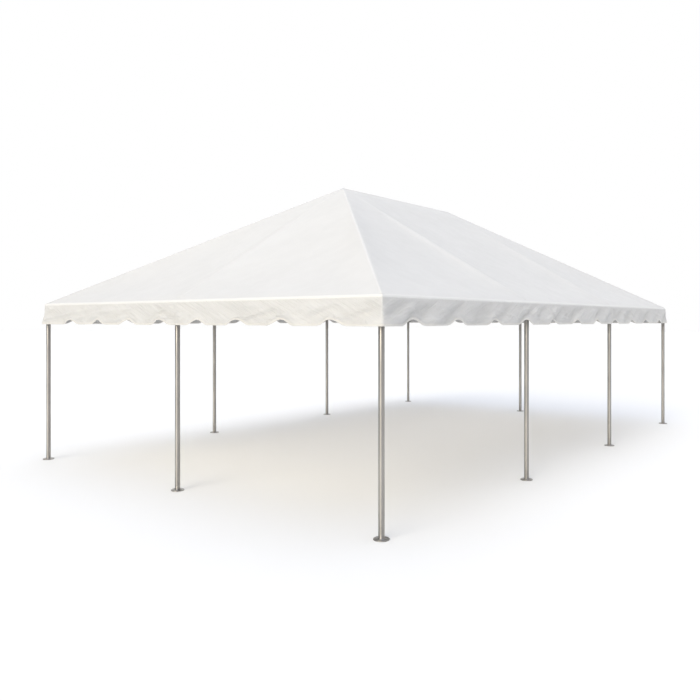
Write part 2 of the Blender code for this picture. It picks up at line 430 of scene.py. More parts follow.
@dataclass(frozen=True)
class TubeFinish:
    """Drawn aluminium tube: long fine drawing lines, dull patches and a few scuffs.

    The lines make its gloss uneven: it is drawn out round the tube and narrow along it.
    """

    name: str
    bright: Colour = (0.46, 0.440, 0.413)
    dull: Colour = (0.37, 0.356, 0.338)
    scuff: Colour = (0.20, 0.195, 0.19)
    smooth: float = 0.30
    rough: float = 0.37
    soil_height: float = 0.0

    def build(self) -> bpy.types.Material:
        """Make the material, for a tube that runs along its object's own Z.

        Returns:
            The finished material.
        """
        graph = NodeGraph(self.name)
        metal = graph.coordinates("Object")
        lines = graph.noise(graph.place(metal, (420.0, 420.0, 1.6)), 1.0, 3.0, 0.6)
        patches = graph.noise(graph.place(metal, (9.0, 9.0, 2.2)), 1.0, 4.0)
        marks = graph.climb(graph.noise(graph.place(metal, (60.0, 60.0, 22.0)), 1.0, 6.0, 0.7),
                            0.62, 0.74)
        colour = graph.blend(graph.climb(patches, 0.3, 0.7), self.bright, self.dull)
        colour = graph.blend(graph.math("MULTIPLY", lines, 0.35), colour, self.dull)
        wear = graph.math("MULTIPLY", marks, 0.5)
        if self.soil_height:
            height = graph.add("SeparateXYZ", Vector=metal).outputs[2]
            low = graph.climb(height, self.soil_height, 0.0)
            dirt = graph.climb(graph.noise(metal, 30.0, 5.0), 0.4, 0.65, 0.05, 0.25)
            wear = graph.math("ADD", wear, graph.math("MULTIPLY", low, dirt))
        colour = graph.blend(wear, colour, self.scuff)
        rough = graph.math("ADD", graph.climb(patches, 0.3, 0.7, self.smooth, self.rough),
                           graph.math("MULTIPLY", wear, 0.3))
        normal = graph.bump(lines, 0.00003, 0.5)
        normal = graph.bump(marks, 0.00015, 0.5, under=normal)
        round_tube = graph.add("Tangent", direction_type="RADIAL", axis="Z").outputs[0]
        return graph.finish(Base_Color=colour, Roughness=rough, Normal=normal, Metallic=1.0,
                            Tangent=round_tube, Anisotropic=0.9, Anisotropic_Rotation=0.25)


@dataclass(frozen=True)
class PlatedFinish:
    """Zinc-plated steel: cloudy crystals, with duller metal in patches among them."""

    name: str
    bright: Colour = (0.50, 0.50, 0.50)
    dull: Colour = (0.34, 0.345, 0.35)
    crystal: float = 0.011

    def build(self) -> bpy.types.Material:
        """Make the material, laid out in the object's own coordinates.

        Returns:
            The finished material.
        """
        graph = NodeGraph(self.name)
        metal = graph.coordinates("Object")
        cells = graph.add("TexVoronoi", Vector=metal, Scale=1.0 / self.crystal)
        spangle = graph.add("SeparateXYZ", Vector=cells.outputs["Color"]).outputs[0]
        cloud = graph.noise(metal, 26.0, 5.0, 0.6)
        share = graph.math("ADD", graph.math("MULTIPLY", spangle, 0.45),
                           graph.math("MULTIPLY", cloud, 0.55))
        colour = graph.blend(graph.climb(share, 0.25, 0.75), self.dull, self.bright)
        rough = graph.climb(share, 0.2, 0.8, 0.50, 0.34)
        normal = graph.bump(graph.noise(metal, 240.0, 3.0), 0.0002, 0.5)
        normal = graph.bump(cloud, 0.0006, 0.5, under=normal)
        return graph.finish(Base_Color=colour, Roughness=rough, Normal=normal, Metallic=1.0)


@dataclass(frozen=True)
class FloorFinish:
    """A plain pale floor."""

    name: str = "pale_floor"
    pale: Colour = (0.88, 0.88, 0.876)

    def build(self) -> bpy.types.Material:
        """Make the material.

        Returns:
            The finished material.
        """
        graph = NodeGraph(self.name)
        cloud = graph.noise(graph.coordinates("Object"), 0.6, 3.0)
        rough = graph.climb(cloud, 0.3, 0.7, 0.85, 0.95)
        return graph.finish(Base_Color=(*self.pale, 1.0), Roughness=rough,
                            Specular_IOR_Level=0.1)


# Shared sizes and mesh tools


@dataclass(frozen=True)
class TentSizes:
    """The tent's main sizes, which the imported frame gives."""

    half_width: float
    half_length: float
    half_ridge: float
    eave_height: float
    crown_height: float
    tube_radius: float
    leg_top: float
    plate_radius: float
    overhang: float
    valance_bottom: float
    shoulder: float
    seat_gap: float = 0.0006

    @classmethod
    def from_frame(cls) -> "TentSizes":
        """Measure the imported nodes.

        Returns:
            The sizes.
        """
        leg_low, leg_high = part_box("leg_front_right")
        side_low, side_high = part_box("leg_right_2")
        eave_low, eave_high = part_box("eave_tube_front_right")
        ridge_low, ridge_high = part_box("ridge_tube")
        valance_low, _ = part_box("valance_front")
        leg = (leg_low + leg_high) / 2.0
        return cls(
            half_width=leg.x,
            half_length=-leg.y,
            half_ridge=((side_low + side_high) / 2.0).y,
            eave_height=((eave_low + eave_high) / 2.0).z,
            crown_height=((ridge_low + ridge_high) / 2.0).z,
            tube_radius=(ridge_high.z - ridge_low.z) / 2.0,
            leg_top=leg_high.z,
            plate_radius=(leg_high.x - leg_low.x) / 2.0,
            overhang=leg.y - valance_low.y,
            valance_bottom=valance_low.z,
            shoulder=leg.x - eave_high.x,
        )

    @property
    def slope(self) -> float:
        """The roof's rise for each metre of run."""
        return (self.crown_height - self.eave_height) / self.half_width

    @property
    def secant(self) -> float:
        """The roof's length up the slope for each metre of run."""
        return math.hypot(1.0, self.slope)

    def half_plan(self, side: Side) -> tuple[float, float]:
        """Return a side's half length and its distance out, both on the leg lines.

        Args:
            side: The side.

        Returns:
            The half length and the distance.
        """
        if side.is_end:
            return self.half_width, self.half_length
        return self.half_length, self.half_width


def add_object(name: str, content: bpy.types.ID) -> bpy.types.Object:
    """Put a mesh, a light or a camera into the scene.

    Args:
        name: The object's name.
        content: What it shows.

    Returns:
        The new object.
    """
    item = bpy.data.objects.new(name, content)
    bpy.context.scene.collection.objects.link(item)
    return item


def add_mesh(name: str, points: list[Vector], faces: list[tuple[int, ...]],
             finish: bpy.types.Material) -> bpy.types.Object:
    """Make a smooth mesh object that rides on the frame.

    Args:
        name: The piece's name.
        points: Its vertices.
        faces: Its faces, as places in that list.
        finish: Its material.

    Returns:
        The new object.
    """
    mesh = bpy.data.meshes.new(name)
    mesh.from_pydata([tuple(point) for point in points], [], faces)
    mesh.polygons.foreach_set("use_smooth", [True] * len(mesh.polygons))
    mesh.update()
    item = add_object(name, mesh)
    mesh.materials.append(finish)
    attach(item, BODY)
    return item


def turned(profile: list[tuple[float, float]], sides: int) -> tuple[list[Vector], list[tuple]]:
    """Turn a closed profile of (radius, height) points about Z.

    Args:
        profile: The points in order round the section. A point on the axis has radius 0.
        sides: How many steps the turn has.

    Returns:
        The vertices and the faces.
    """
    points: list[Vector] = []
    rings: list[list[int]] = []
    for radius, height in profile:
        count = 1 if radius == 0.0 else sides
        rings.append([len(points) + step for step in range(count)])
        for step in range(count):
            angle = 2.0 * math.pi * step / sides
            points.append(Vector((radius * math.cos(angle), radius * math.sin(angle), height)))
    faces: list[tuple] = []
    for lower, upper in zip(rings, rings[1:] + rings[:1]):
        if len(lower) == 1 and len(upper) == 1:
            continue
        for step in range(sides):
            following = (step + 1) % sides
            corners = [lower[step % len(lower)], lower[following % len(lower)],
                       upper[following % len(upper)], upper[step % len(upper)]]
            faces.append(tuple(dict.fromkeys(corners)))
    return points, faces


def rounded(corner: tuple[float, float], before: tuple[float, float],
            after: tuple[float, float], radius: float, steps: int) -> list[tuple[float, float]]:
    """Round a profile's corner between two neighbouring points.

    Args:
        corner: The sharp corner.
        before: The point before it.
        after: The point after it.
        radius: How far back from the corner the rounding starts on both sides.
        steps: How many segments the rounding has.

    Returns:
        The points that take the corner's place.
    """
    middle = Vector(corner)
    start = middle + (Vector(before) - middle).normalized() * radius
    end = middle + (Vector(after) - middle).normalized() * radius
    made = []
    for step in range(steps + 1):
        share = step / steps
        point = start * (1.0 - share) ** 2 + middle * 2.0 * share * (1.0 - share) + end * share ** 2
        made.append((point.x, point.y))
    return made


def turn_to(direction: Vector) -> Matrix:
    """Return the turn that brings +Z onto a direction."""
    return direction.to_track_quat("Z", "Y").to_matrix().to_4x4()


def add_part(shape: bmesh.types.BMesh, part: tuple[list[Vector], list[tuple]],
             place: Matrix) -> None:
    """Add a part to a mesh in the making.

    Args:
        shape: The mesh in the making.
        part: The part's vertices and faces.
        place: Where the part goes.
    """
    points, faces = part
    made = [shape.verts.new(place @ point) for point in points]
    for face in faces:
        shape.faces.new([made[corner] for corner in face])


def loft(sections: int, count: int, closed: bool) -> list[tuple[int, ...]]:
    """Return the faces of a strip whose closed sections follow one another.

    Args:
        sections: How many sections there are.
        count: How many points each section has.
        closed: Whether the last section meets the first. The ends are capped otherwise.

    Returns:
        The faces, as places in the list of all the sections' points.
    """
    faces: list[tuple[int, ...]] = []
    for index in range(sections if closed else sections - 1):
        here, there = index * count, (index + 1) % sections * count
        for step in range(count):
            after = (step + 1) % count
            faces.append((here + step, here + after, there + after, there + step))
    if not closed:
        last = (sections - 1) * count
        faces.append(tuple(range(count)))
        faces.append(tuple(last + step for step in range(count))[::-1])
    return faces


def lay_tape(item: bpy.types.Object, runs: list[float], shares: list[float]) -> None:
    """Give a lofted tape its UV coordinates.

    Args:
        item: The tape.
        runs: How far along the tape each section lies.
        shares: The second coordinate of each point of a section.
    """
    layer = item.data.uv_layers.new(name="tape")
    for loop in item.data.loops:
        index, step = divmod(loop.vertex_index, len(shares))
        layer.data[loop.index].uv = (runs[index], shares[step])


def close_normals(item: bpy.types.Object) -> None:
    """Turn all of a closed mesh's faces outward.

    Args:
        item: The mesh object.
    """
    shape = bmesh.new()
    shape.from_mesh(item.data)
    bmesh.ops.recalc_face_normals(shape, faces=shape.faces[:])
    shape.to_mesh(item.data)
    shape.free()


# Canopy


@dataclass(frozen=True)
class Column:
    """One line of the canopy's mesh, from the ridge or a peak down to the hem.

    side is the side that it hangs on, place its distance along that side, normal the level
    direction that the valance faces there, outline the plan point of the valance, head the plan
    point of its upper end, and lift how far the hem rises there, from 0 to 1.
    """

    side: Side
    place: float
    normal: Vector
    outline: Vector
    head: Vector
    lift: float


@dataclass(frozen=True)
class ScallopRow:
    """The notches between the lobes of one side's hem.

    notches is their number, pitch the distance between two, and shift how far the middle of the
    row lies to the right of the side's middle, as seen from outside.
    """

    notches: int
    pitch: float
    shift: float = 0.0

    def middles(self) -> list[float]:
        """Return where the notches are along the side."""
        return [self.shift + self.pitch * (notch - (self.notches - 1) / 2.0)
                for notch in range(self.notches)]


@dataclass
class Canopy:
    """The one sheet of fabric: four slopes that sag between the rafters, and the valance."""

    sizes: TentSizes
    finish: bpy.types.Material
    thickness: float = 0.0016
    valance_half: float = 0.0025        # half the thickness of the valance's solids
    # Sag between the rafters: a power is how square its section is beside a rafter or a hip
    end_sag: float = 0.076
    side_sag: float = 0.066
    rafter_power: float = 6.0
    hip_power: float = 3.0
    flat_share: float = 0.012
    peak_share: float = 0.10
    hip_softness: float = 0.015
    # Notches and the rest of the hem
    end_row: ScallopRow = ScallopRow(8, 0.686, 0.08)
    side_row: ScallopRow = ScallopRow(11, 0.823)
    notch_height: float = 0.064
    notch_reach: float = 0.19
    lift_power: float = 2.2
    hem_gap: float = 0.001
    hem_waver: float = 0.004
    hem_length: float = 0.4
    hem_seed: float = 9.1
    binding_start: float = 0.88         # the valance is flat from this share of the way down
    # Columns and rows of the mesh
    notch_shares: tuple[float, ...] = (0.16, 0.34, 0.54, 0.76, 1.0)
    column_step: float = 0.050
    column_gap: float = 0.022
    rafter_flat: float = 0.055
    corner_radius: float = 0.016
    corner_steps: int = 4
    fold_radius: float = 0.052
    roof_rows: int = 32
    fold_rows: int = 7
    valance_rows: int = 18
    weld_scale: float = 20000.0         # points that round to the same place are one
    # Wrinkles of the roof. A number added to a seed only tells one pattern from another
    roof_seed: float = 3.7
    free_sag: float = 0.022             # the sag from which the wrinkles have their full height
    broad: Wrinkles = Wrinkles(1.71, 1.8, 0.34, 0.0026)
    narrow: Wrinkles = Wrinkles(1.66, 1.2, 0.15, 0.0016, 11.0)
    cloud_size: float = 0.8
    cloud_height: float = 0.0028
    # Slanting folds and pleats of the valance, calmer on the ends
    hanging_seeds: tuple[float, float] = (5.3, 40.0)
    drop_length: float = 0.27
    end_calm: float = 0.45
    fold: Wrinkles = Wrinkles(0.52, 0.75, 0.115, 0.030, 7.0)
    fold_start: float = 0.30
    pleat: Wrinkles = Wrinkles(0.58, 0.36, 0.050, 0.012, 9.0)
    pleat_start: float = 0.14
    pleat_end: tuple[float, float] = (0.50, 0.80)
    pleat_loss: float = 0.7
    # Painted shade on the valance: a share of it all over, less on the crests of the slanting folds
    # and more in their troughs
    even_hollow: float = 0.22
    full_hollow: float = 0.020          # the height of a fold that counts as 1
    # Long creases that cross them, and waves
    crossing: Wrinkles = Wrinkles(-0.24, 1.3, 0.16, seed=15.0)
    crease_sharpness: float = 6.0
    end_crease: float = 0.030
    side_crease: float = 0.010
    crease_start: float = 0.40
    wave_size: tuple[float, float] = (0.75, 0.5)
    wave_height: float = 0.009
    # A shelf that comes and goes above the hem
    shelf_level: float = 0.70
    shelf_waver: float = 0.10
    shelf_length: float = 0.45
    shelf_depth: float = 0.075
    shelf_height: float = 0.0100
    shelf_gaps: float = 0.7
    shelf_edges: tuple[float, float] = (-0.25, 0.30)
    # Folds that fan out below the heads of the legs
    fan_start: float = 0.10
    fan_reach: float = 0.20
    fan_count: float = 4.0
    fan_phases: tuple[float, float] = (2.1, 1.3)
    fan_height: float = 0.0100
    # Flare of the hem and the corners, and the room between the valance and the tubes
    hem_flare: float = 0.016
    flare_start: float = 0.45
    corner_flare: dict[tuple[int, int], float] = field(default_factory=lambda: {
        (-1, -1): 0.030, (1, -1): 0.008, (1, 1): 0.014, (-1, 1): 0.012})
    corner_reach: float = 0.22
    corner_fade: float = 0.12
    clearance: float = 0.0065
    free_room: float = 0.014
    leg_room: tuple[float, float] = (0.05, 0.20)
    tube_room: tuple[float, float] = (0.10, 0.35)
    # UV coordinates: where the slope's own end, and how far apart the sides lie
    slope_end: float = 0.02
    side_spacing: float = 20.0
    # What is worked out while it is built
    columns: list[Column] = field(default_factory=list)
    rows: list[list[int]] = field(default_factory=list)
    points: list[Vector] = field(default_factory=list)
    painted_fold_shades: list[float] = field(default_factory=list)

    @property
    def seat(self) -> float:
        """Distance from the rafters' axes to the middle of the fabric."""
        return self.sizes.tube_radius + self.sizes.seat_gap + self.thickness / 2.0

    @property
    def run(self) -> float:
        """Level distance from the ridge's line to the middle of the valance."""
        return self.sizes.half_width + self.sizes.overhang - self.valance_half

    def plane_height(self, outward: float) -> float:
        """Return the height of a tight slope at a level distance from the ridge's line."""
        return (self.sizes.crown_height + self.seat * self.sizes.secant
                - outward * self.sizes.slope)

    def row_of(self, side: Side) -> ScallopRow:
        """Return the notches of a side's hem."""
        return self.end_row if side.is_end else self.side_row

    def half_along(self, side: Side) -> float:
        """Return half the length of a side's valance."""
        return self.sizes.half_plan(side)[0] + self.run - self.sizes.half_width

    def rafters_on(self, side: Side) -> list[float]:
        """Return where the rafters between the hips meet a side's eave."""
        return [0.0] if side.is_end else [-self.sizes.half_ridge, self.sizes.half_ridge]

    def legs_on(self, side: Side) -> list[float]:
        """Return where the legs of a side stand: the two at the corners, then the others."""
        corner = self.sizes.half_plan(side)[0]
        return [-corner, corner] + self.rafters_on(side)

    def lift_at(self, place: float, side: Side) -> float:
        """Return how far the hem rises above the lobes' bottoms at a place, from 0 to 1."""
        nearest = min(abs(place - notch) for notch in self.row_of(side).middles())
        return (1.0 + math.cos(math.pi * min(1.0, nearest / self.notch_reach))) / 2.0

    def places_along(self, side: Side) -> list[float]:
        """Return where the columns of one side stand, from corner to corner.

        Args:
            side: The side.

        Returns:
            Distances along the side from its middle.
        """
        limit = self.half_along(side) - self.corner_radius
        fixed = [-limit, limit] + self.rafters_on(side)
        wanted = [rafter + sign * self.rafter_flat
                  for rafter in self.rafters_on(side) for sign in (-1.0, 1.0)]
        for notch in self.row_of(side).middles():
            wanted += [notch] + [notch + sign * share * self.notch_reach
                                 for share in self.notch_shares for sign in (-1.0, 1.0)]
        for place in wanted:
            if abs(place) < limit and min(abs(place - other) for other in fixed) > self.column_gap:
                fixed.append(place)
        fixed.sort()
        made = [fixed[0]]
        for place in fixed[1:]:
            start = made[-1]
            parts = math.ceil((place - start) / self.column_step)
            made += [start + (place - start) * part / parts for part in range(1, parts + 1)]
        return made

    def lay_out_columns(self) -> None:
        """Set the columns in order round the plan, with a few round each corner."""
        for side in Side:
            half = self.half_along(side)
            out = self.sizes.half_plan(side)[1] + self.run - self.sizes.half_width
            half_top = 0.0 if side.is_end else self.sizes.half_ridge
            head_out = self.sizes.half_ridge if side.is_end else 0.0
            for place in self.places_along(side):
                head = max(-half_top, min(half_top, place))
                self.columns.append(Column(
                    side, place, side.outward,
                    side.along * place + side.outward * out,
                    side.along * head + side.outward * head_out, self.lift_at(place, side)))
            centre = (side.along * (half - self.corner_radius)
                      + side.outward * (out - self.corner_radius))
            peak = side.along * half_top + side.outward * head_out
            for step in range(1, self.corner_steps):
                angle = math.pi / 2.0 * step / self.corner_steps
                normal = side.outward * math.cos(angle) + side.along * math.sin(angle)
                self.columns.append(Column(
                    side, half - self.corner_radius * (1.0 - math.sin(angle)), normal,
                    centre + normal * self.corner_radius, peak, 0.0))

    def outward_of(self, point: Vector) -> float:
        """Return the level distance from the ridge's line, softened at the hips.

        Args:
            point: The plan point.

        Returns:
            The distance.
        """
        across, along = abs(point.x), abs(point.y) - self.sizes.half_ridge
        overlap = max(self.hip_softness - abs(across - along), 0.0)
        return max(across, along) + overlap * overlap / (4.0 * self.hip_softness)

    def side_at(self, point: Vector) -> Side:
        """Return the side whose slope a plan point is on.

        Args:
            point: The plan point.

        Returns:
            The side.
        """
        if abs(point.y) - self.sizes.half_ridge > abs(point.x):
            return Side.FRONT if point.y < 0.0 else Side.BACK
        return Side.RIGHT if point.x > 0.0 else Side.LEFT

    def sag_at(self, point: Vector) -> float:
        """Return how far the fabric hangs below a tight slope at a plan point.

        Args:
            point: The plan point.

        Returns:
            The depth.
        """
        is_end = self.side_at(point).is_end
        along, outward = abs(point.y), abs(point.x)
        half_top = self.sizes.half_ridge
        if is_end:
            along, outward, half_top = outward, along - half_top, 0.0
        up = 1.0 - outward / self.run
        low = (self.sizes.overhang + self.sizes.tube_radius) / self.run
        climb = min(1.0, max(0.0, (up - low) / (1.0 - self.peak_share - low)))
        # Both shapes rise to 1: a bay between two rafters, and one that narrows to a peak
        if along < half_top:
            share = (along + half_top) / (2.0 * half_top)
            shape = 4.0 * climb * (1.0 - climb)
        else:
            share = min(1.0, (along - half_top) / max(1.0 - up, 1e-4) / self.run)
            shape = 6.75 * climb * (1.0 - climb) ** 2
        flat = self.flat_share * (1.0 if along < half_top else 1.0 / max(1.0 - up, 0.2))
        # step runs from 0 at one rafter to 1 at the next, without the flat part along each
        step = min(1.0, max(0.0, (share - flat) / (1.0 - 2.0 * flat)))
        depth = self.end_sag if is_end else self.side_sag
        at_hip = along >= half_top and step > 0.5
        power = self.hip_power if at_hip else self.rafter_power
        return depth * (1.0 - abs(2.0 * step - 1.0) ** power) * shape

    def tension_lines(self, point: Vector) -> float:
        """Return the height of the roof's wrinkles at a plan point. They fade at the rafters.

        Args:
            point: The plan point.

        Returns:
            The height.
        """
        side = self.side_at(point)
        along = side.along.dot(point) * side.grain_hand
        down = (self.outward_of(point) - self.run) * self.sizes.secant
        seed = self.roof_seed * side.number
        free = min(1.0, self.sag_at(point) / self.free_sag)
        cloud = noise.noise(Vector((along / self.cloud_size, down / self.cloud_size, seed + 23.0)))
        return free * (self.broad.height * self.broad.at(along, down, seed)
                       + self.narrow.height * self.narrow.at(along, down, seed)
                       + self.cloud_height * cloud)

    def roof_point(self, plan: Vector) -> Vector:
        """Return the point of the roof over a plan point.

        Args:
            plan: The plan point.

        Returns:
            The point in the middle of the fabric.
        """
        height = self.plane_height(self.outward_of(plan))
        height += self.tension_lines(plan) - self.sag_at(plan)
        return Vector((plan.x, plan.y, height))

    def fan_folds(self, column: Column, drop: float) -> float:
        """Return the height, from -1 to 1, of the folds that fan out below the legs' heads.

        Args:
            column: The column that the point is on.
            drop: How far below the fold it is.

        Returns:
            The height.
        """
        made = 0.0
        for index, leg in enumerate(self.legs_on(column.side)):
            aside = column.place - leg
            reach = math.hypot(aside, drop)
            spread = math.exp(-(reach / self.fan_reach) ** 2)
            spread *= smoothstep(0.0, self.fan_start, reach)
            phase = self.fan_phases[0] * index + self.fan_phases[1] * column.side.number
            made += spread * math.sin(self.fan_count * math.atan2(drop, aside) + phase)
        return made

    def hanging_place(self, column: Column, down: float) -> tuple[float, float, float]:
        """Return a valance point's place along and down the fabric, and its side's seed.

        Args:
            column: The column that the point is on.
            down: The share of the way from the fold to the hem.

        Returns:
            The place along, the place down and the seed.
        """
        side = column.side
        seed = self.hanging_seeds[0] * side.number + self.hanging_seeds[1]
        return column.place * side.grain_hand, down * self.drop_length, seed

    def slanting_folds(self, column: Column, down: float) -> float:
        """Return the height of the valance's slanting folds and pleats.

        Args:
            column: The column that the point is on.
            down: The share of the way from the fold to the hem.

        Returns:
            The height.
        """
        along, drop, seed = self.hanging_place(column, down)
        fold = self.fold.at(along, drop, seed)
        pleat = self.pleat.at(along, drop, seed)
        fullness = smoothstep(0.0, self.fold_start, down)
        gathered = smoothstep(0.0, self.pleat_start, down)
        gathered *= 1.0 - self.pleat_loss * smoothstep(*self.pleat_end, down)
        calm = self.end_calm if column.side.is_end else 1.0
        return calm * (self.fold.height * fullness * fold + self.pleat.height * gathered * pleat)

    def relief_at(self, column: Column, down: float) -> float:
        """Return the height of all the folds and creases at a point of the valance.

        Args:
            column: The column that the point is on.
            down: The share of the way from the fold to the hem.

        Returns:
            The height.
        """
        along, drop, seed = self.hanging_place(column, down)
        wave = noise.noise(Vector((along / self.wave_size[0], drop / self.wave_size[1], seed)))
        crossing = self.crossing.at(along, drop, seed)
        crease = 1.0 - min(1.0, self.crease_sharpness * abs(crossing))
        waver = noise.noise(Vector((along / self.shelf_length, 3.0, seed + 19.0)))
        level = self.shelf_level + self.shelf_waver * waver
        shelf = math.exp(-((down - level) / self.shelf_depth) ** 2)
        gaps = noise.noise(Vector((along / self.shelf_gaps, 9.0, seed + 21.0)))
        shelf *= smoothstep(*self.shelf_edges, gaps)
        sharp = self.end_crease if column.side.is_end else self.side_crease
        fullness = smoothstep(0.0, self.crease_start, down)
        large = fullness * (self.wave_height * wave + sharp * crease)
        large += self.slanting_folds(column, down)
        fan = self.fan_folds(column, drop)
        return large + (self.shelf_height * shelf + self.fan_height * fan)

    def valance_billow(self, column: Column, down: float) -> float:
        """Return how far the valance stands out of its plane.

        Args:
            column: The column that the point is on.
            down: The share of the way from the fold to the hem. The binding keeps the last
                of it flat.

        Returns:
            The distance outward, below zero where it lies further in.
        """
        side = column.side
        down = min(down, self.binding_start)
        from_corner = self.half_along(side) - abs(column.place)
        out = self.relief_at(column, down) * smoothstep(0.0, self.corner_fade, from_corner)
        out += self.hem_flare * smoothstep(self.flare_start, 1.0, down)
        signs = side.along * math.copysign(1.0, column.place) + side.outward
        flare = self.corner_flare[(round(signs.x), round(signs.y))]
        reach = from_corner / self.corner_reach
        out += flare * down * down * math.exp(-reach * reach)
        aside = min(abs(column.place - leg) for leg in self.legs_on(side))
        between = smoothstep(*self.leg_room, aside)
        room = self.clearance + self.free_room * between * smoothstep(*self.tube_room, down)
        return out if out > 0.0 else -room * math.tanh(-out / room)

    def hollow_at(self, column: Column, down: float) -> float:
        """Return how much painted shade a point of the valance gets, from 0 to 1.

        Args:
            column: The column that the point is on.
            down: The share of the way from the fold to the hem.

        Returns:
            The depth.
        """
        # Painted shade: an even share, less on the folds' crests and more in their troughs
        calm = self.end_calm if column.side.is_end else 1.0
        height = self.slanting_folds(column, down) / self.full_hollow
        return min(1.0, max(0.0, self.even_hollow * calm - height))

    def fold_height_at(self, point: Vector) -> float:
        """Return the height of the fold over the eave at a plan point, mitred at the corners.

        Args:
            point: The plan point.

        Returns:
            The height.
        """
        edge = self.plane_height(self.run)
        dip = math.atan(self.sizes.slope)
        centre = edge - self.fold_radius * math.tan((math.pi / 2.0 - dip) / 2.0)
        made = []
        for inset in (self.run - abs(point.x), self.sizes.half_ridge + self.run - abs(point.y)):
            sine = min(1.0, 1.0 - inset / self.fold_radius)
            bent = sine > math.sin(dip)
            made.append(centre + self.fold_radius * math.sqrt(1.0 - sine * sine) if bent
                        else edge + inset * self.sizes.slope)
        return min(made)

    def fold_path(self, column: Column) -> list[Vector]:
        """Return a column's points over the eave tube. None of them crosses the hip's line.

        Args:
            column: The column.

        Returns:
            The points, from the roof down.
        """
        dip = math.atan(self.sizes.slope)
        limit = max(self.corner_radius, self.half_along(column.side) - abs(column.place))
        made = []
        for step in range(self.fold_rows + 1):
            angle = dip + (math.pi / 2.0 - dip) * step / self.fold_rows
            inside = min(limit, self.fold_radius * (1.0 - math.sin(angle)))
            point = column.outline - column.normal * inside
            made.append(Vector((point.x, point.y, self.fold_height_at(point))))
        return made

    def column_points(self, column: Column) -> list[tuple[Vector, float]]:
        """Return a column's points from its head down to the hem, each with its share of painted
        shade.

        Args:
            column: The column.

        Returns:
            The points and their shares of painted shade.
        """
        fold = self.fold_path(column)
        start = Vector((fold[0].x, fold[0].y, 0.0))
        made = []
        for row in range(self.roof_rows):
            share = row / self.roof_rows
            made.append((self.roof_point(column.head.lerp(start, share)), 0.0))
        made += [(point, 0.0) for point in fold]
        top = fold[-1].z
        where = Vector((column.place / self.hem_length, self.hem_seed * column.side.number, 2.0))
        waver = self.hem_waver * noise.noise(where)
        bottom = self.sizes.valance_bottom + self.hem_gap + self.thickness + max(0.0, waver)
        for row in range(1, self.valance_rows + 1):
            down = row / self.valance_rows
            lift = column.lift * self.notch_height * down ** self.lift_power
            height = top + (bottom - top) * down + lift
            point = column.outline + column.normal * self.valance_billow(column, down)
            made.append((Vector((point.x, point.y, height)), self.hollow_at(column, down)))
        return made

    def build(self) -> bpy.types.Object:
        """Build the sheet.

        Returns:
            The sheet.
        """
        self.lay_out_columns()
        known: dict[tuple[int, int, int], int] = {}
        for column in self.columns:
            places = []
            for point, hollow in self.column_points(column):
                key = tuple(round(value * self.weld_scale) for value in point)
                if key not in known:
                    known[key] = len(self.points)
                    self.points.append(point)
                    self.painted_fold_shades.append(hollow)
                places.append(known[key])
            self.rows.append(places)
        faces, homes = [], []
        for index, left in enumerate(self.rows):
            right = self.rows[(index + 1) % len(self.rows)]
            for row in range(len(left) - 1):
                corners = (left[row], left[row + 1], right[row + 1], right[row])
                faces.append(tuple(dict.fromkeys(corners)))
                homes.append(self.columns[index].side)
        kept = [index for index, face in enumerate(faces) if len(face) > 2]
        item = add_mesh("canopy", self.points, [faces[index] for index in kept], self.finish)
        self.lay_out_cloth(item, [homes[index] for index in kept])
        # Painted shade: each point's share is kept on the mesh for the fabric's material
        shade = item.data.attributes.new("hollow", "FLOAT", "POINT")
        shade.data.foreach_set("value", self.painted_fold_shades)
        body = item.modifiers.new("Fabric thickness", "SOLIDIFY")
        body.thickness = self.thickness
        body.offset = 0.0
        return item

    def lay_out_cloth(self, item: bpy.types.Object, homes: list[Side]) -> None:
        """Give the sheet UV coordinates in metres: along each side, and down from the eave.

        Args:
            item: The sheet.
            homes: The side that each of its faces belongs to.
        """
        layer = item.data.uv_layers.new(name="cloth")
        for polygon, side in zip(item.data.polygons, homes):
            for loop in polygon.loop_indices:
                point = item.data.vertices[item.data.loops[loop].vertex_index].co
                along = side.along.dot(point) * side.grain_hand
                outward = self.outward_of(point)
                slope_part = (outward - self.run) * self.sizes.secant
                hanging = max(0.0, self.plane_height(self.run) - point.z)
                down = slope_part if outward < self.run - self.slope_end else hanging
                layer.data[loop].uv = (along + self.side_spacing * side.number, down)

    def hem_frames(self) -> list[tuple[Vector, Vector, Vector]]:
        """Return each hem point with the directions up into the fabric and out of its face.

        Returns:
            For each column the point and the two directions.
        """
        made = []
        count = len(self.rows)
        for index in range(count):
            here = self.points[self.rows[index][-1]]
            above = self.points[self.rows[index][-2]]
            ahead = self.points[self.rows[(index + 1) % count][-1]]
            behind = self.points[self.rows[index - 1][-1]]
            along = ((ahead - here).normalized() + (here - behind).normalized()).normalized()
            up = above - here
            up = (up - along * up.dot(along)).normalized()
            made.append((here, up, along.cross(up).normalized()))
        return made

    def path_from(self, peak: Vector, foot: Vector) -> list[Vector]:
        """Return plan points from the ridge or a peak to the start of the eave's fold."""
        return [peak.lerp(foot, step / self.roof_rows) for step in range(self.roof_rows + 1)]

    def hip_paths(self) -> dict[str, list[Vector]]:
        """Return plan points down each hip.

        Returns:
            The points of each hip, by its corner's name.
        """
        made = {}
        outer = self.run - self.fold_radius / 2.0
        for across, left_right in ((-1.0, "left"), (1.0, "right")):
            for along, front_back in ((-1.0, "front"), (1.0, "back")):
                peak = Vector((0.0, along * self.sizes.half_ridge, 0.0))
                foot = Vector((across * outer, along * (self.sizes.half_ridge + outer), 0.0))
                made[f"{front_back}_{left_right}"] = self.path_from(peak, foot)
        return made

